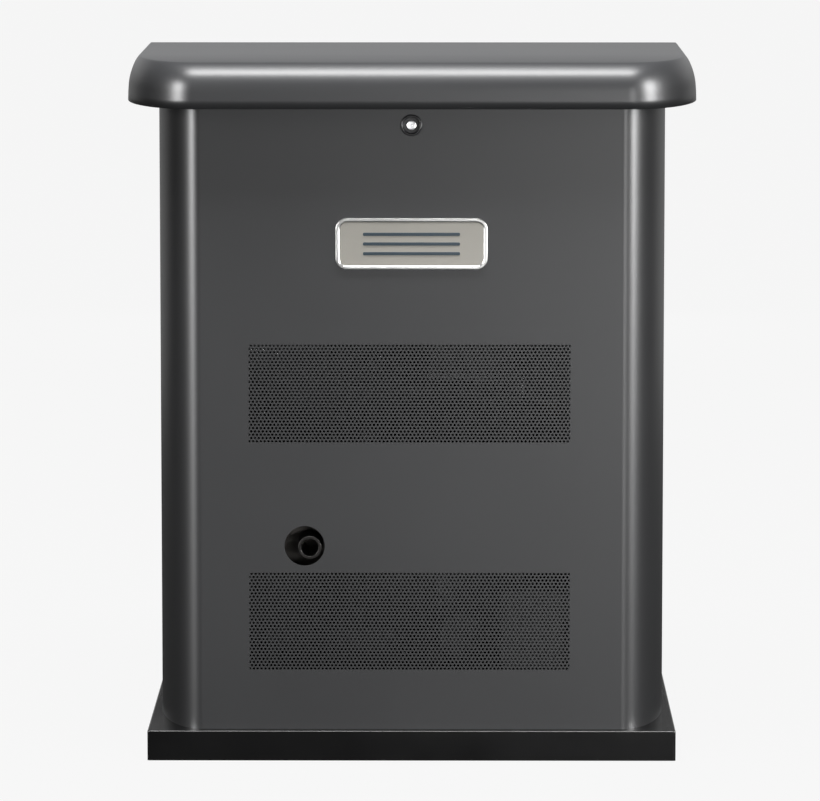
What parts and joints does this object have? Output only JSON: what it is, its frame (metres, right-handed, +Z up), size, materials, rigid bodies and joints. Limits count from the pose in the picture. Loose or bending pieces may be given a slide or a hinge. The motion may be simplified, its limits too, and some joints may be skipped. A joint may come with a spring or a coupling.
{
  "type": "home standby generator",
  "caption": "Upright air-cooled standby generator in a dark sheet enclosure with a hinged locking hood, perforated vents, an exhaust port, and an engine and alternator on one shaft.",
  "frame": {"origin": "centre of the footprint at ground level", "axes": "+Z up, front with badge and vents faces -Y, +X to the right seen from the front"},
  "size_m": [0.716, 0.72, 0.871],
  "materials": {
    "base_black": "satin black, stove enamelled",
    "grey_powder_coat": "satin dark grey powder coat",
    "zinc_steel": "zinc plated sheet",
    "seal_rubber": "matte",
    "badge_metal": "satin plated",
    "badge_enamel": "cream enamel",
    "dark_screw": "black oxide",
    "lock_black": "satin black",
    "lock_chrome": "polished",
    "foam": "open cell foam",
    "cast_alloy": "as cast",
    "cover_black": "semi gloss",
    "machined_steel": "machined",
    "cast_iron": "as cast",
    "winding_copper": "varnished windings",
    "hot_steel": "aluminised, heat tinted",
    "filter_paper": "pleated paper",
    "filter_red": "gloss",
    "handle_yellow": "gloss",
    "battery_grey": "textured",
    "panel_dark": "textured",
    "display_glass": "tinted window",
    "toggle_black": "satin",
    "key_green": "satin",
    "key_grey": "satin",
    "key_orange": "satin",
    "brass": "machined"
  },
  "bodies": {
    "enclosure": {"base_pan": "base_black", "front_panel": "grey_powder_coat", "side_panel_left": "grey_powder_coat", "side_panel_right": "grey_powder_coat", "back_panel": "grey_powder_coat", "vent_screens": "grey_powder_coat", "frame_posts": "zinc_steel", "top_frame": "zinc_steel", "hinge_leaves_fixed": "zinc_steel", "engine_bed": "zinc_steel", "control_box": "zinc_steel", "roof_seal": "seal_rubber", "isolation_mounts": "seal_rubber", "fuel_hose": "seal_rubber", "badge_bezel": "badge_metal", "badge_face": "badge_enamel", "panel_screws": "dark_screw", "hinge_pins": "dark_screw", "lock_housing": "lock_black", "crankcase": "cast_alloy", "cylinder_barrels": "cast_alloy", "cylinder_heads": "cast_alloy", "mixer": "cast_alloy", "end_bell": "cast_alloy", "valve_covers": "cover_black", "blower_housing": "cover_black", "starter_motor": "cover_black", "regulator": "cover_black", "air_cleaner_cover": "cover_black", "stator_can": "cover_black", "stator_core": "winding_copper", "muffler": "hot_steel", "tailpipe": "hot_steel", "exhaust_pipes": "hot_steel", "filter_element": "filter_paper", "oil_filter": "filter_red", "battery": "battery_grey", "control_face": "panel_dark", "breaker_body": "panel_dark", "display_lens": "display_glass", "cable_gland": "toggle_black", "fuel_valve": "brass"},
    "hood": {"hood_shell": "grey_powder_coat", "hood_liner": "foam", "hood_frame": "zinc_steel", "lock_keeper": "zinc_steel", "hinge_leaves_moving": "zinc_steel"},
    "stay": {"lid_stay": "zinc_steel"},
    "lock": {"lock_plug": "lock_chrome", "lock_cam": "lock_chrome"},
    "crank": {"crankshaft": "machined_steel", "flywheel": "cast_iron", "rotor": "machined_steel"},
    "dipstick": {"dipstick": "handle_yellow"},
    "throttle": {"throttle_shaft": "machined_steel"},
    "toggle": {"breaker_toggle": "toggle_black"},
    "auto_key": {"key_auto": "key_green"},
    "off_key": {"key_off": "key_grey"},
    "manual_key": {"key_manual": "key_orange"},
    "fuel_lever": {"fuel_valve_lever": "handle_yellow"}
  },
  "joints": [
    {"name": "roof_hinge", "type": "hinge", "parent": "enclosure", "child": "hood", "pos_m": [0, 0.3295, 0.808], "axis": [-1, 0, 0], "range_deg": [0, 75]},
    {"name": "stay_swing", "type": "hinge", "parent": "enclosure", "child": "stay", "pos_m": [0.294, 0.24, 0.808], "axis": [-1, 0, 0], "range_deg": [0, 97]},
    {"name": "lock_turn", "type": "hinge", "parent": "enclosure", "child": "lock", "pos_m": [0, -0.3, 0.7928], "axis": [0, 1, 0], "range_deg": [0, 90]},
    {"name": "crank_turn", "type": "hinge", "parent": "enclosure", "child": "crank", "pos_m": [0, 0, 0.21], "axis": [1, 0, 0], "continuous": true},
    {"name": "dipstick_lift", "type": "slide", "parent": "enclosure", "child": "dipstick", "axis": [0, 0, 1], "range_m": [0, 0.12]},
    {"name": "throttle_turn", "type": "hinge", "parent": "enclosure", "child": "throttle", "pos_m": [0.11, 0, 0.44], "axis": [1, 0, 0], "range_deg": [0, 60], "stiffness_Nm_per_rad": 0.02},
    {"name": "breaker_throw", "type": "hinge", "parent": "enclosure", "child": "toggle", "pos_m": [-0.16, 0.21, 0.7893], "axis": [1, 0, 0], "range_deg": [0, 32]},
    {"name": "auto_key_press", "type": "slide", "parent": "enclosure", "child": "auto_key", "axis": [0, 0, -1], "range_m": [0, 0.0015], "stiffness_N_per_m": 300},
    {"name": "off_key_press", "type": "slide", "parent": "enclosure", "child": "off_key", "axis": [0, 0, -1], "range_m": [0, 0.0015], "stiffness_N_per_m": 300},
    {"name": "manual_key_press", "type": "slide", "parent": "enclosure", "child": "manual_key", "axis": [0, 0, -1], "range_m": [0, 0.0015], "stiffness_N_per_m": 300},
    {"name": "fuel_cock_turn", "type": "hinge", "parent": "enclosure", "child": "fuel_lever", "pos_m": [-0.2, 0.302, 0.189], "axis": [0, 0, -1], "range_deg": [0, 90]}
  ],
  "couplings": [
    {"joint": "stay_swing", "follows": "roof_hinge", "ratio": 1.29}
  ]
}
